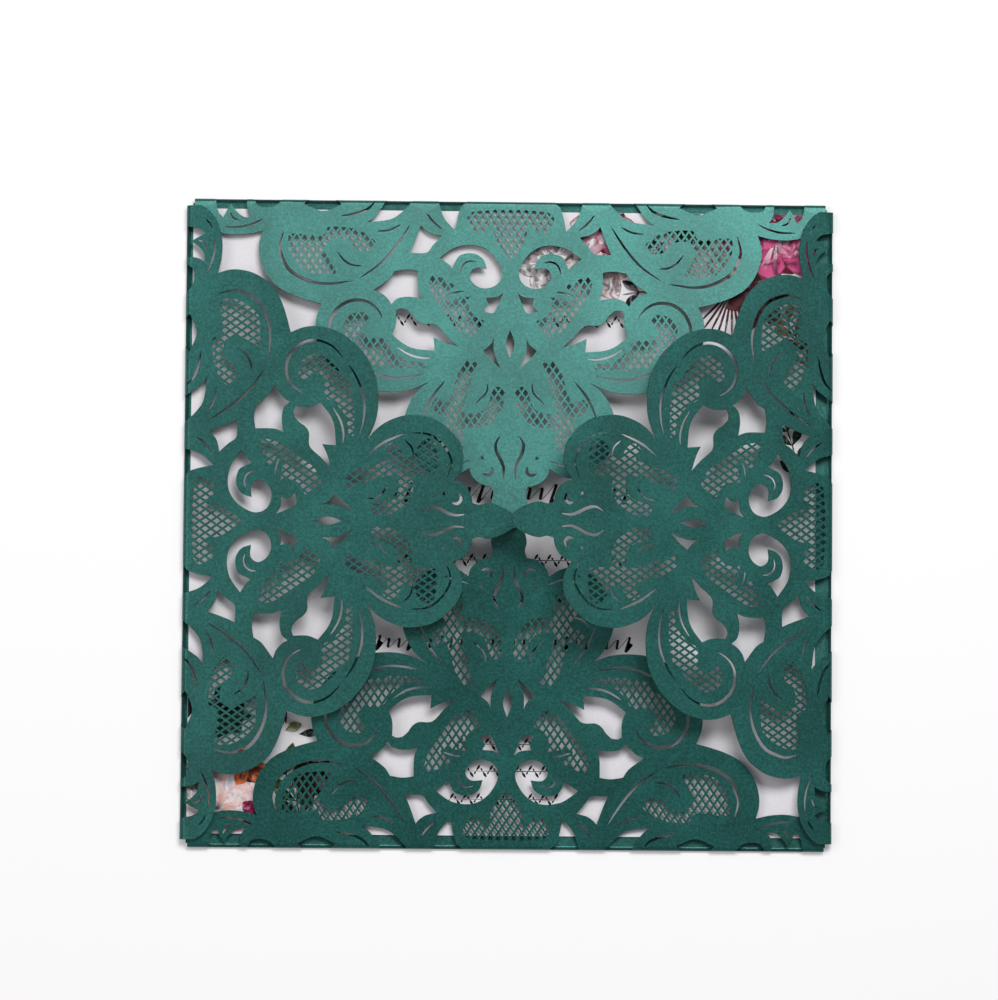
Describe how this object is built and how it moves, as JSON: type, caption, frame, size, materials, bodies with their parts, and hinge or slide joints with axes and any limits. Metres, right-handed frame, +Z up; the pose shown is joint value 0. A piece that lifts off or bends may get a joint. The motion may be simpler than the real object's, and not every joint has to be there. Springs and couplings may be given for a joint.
{
  "type": "laser-cut invitation card",
  "caption": "Square invitation folder in dark green shimmer card, with four laser-cut lace flaps folded in over a white printed card.",
  "frame": {"origin": "centre of the underside of the base panel, on the surface it lies on", "axes": "+Z up out of the base panel, +X to the right and +Y to the top edge of the card as it is read"},
  "size_m": [0.15, 0.15, 0.0205],
  "materials": {
    "shimmer_card": "pearl shimmer",
    "matte_card": "matte, with printed flowers"
  },
  "bodies": {
    "root": {"laser_cut_wrap": "shimmer_card", "printed_insert_card": "matte_card"}
  },
  "joints": []
}
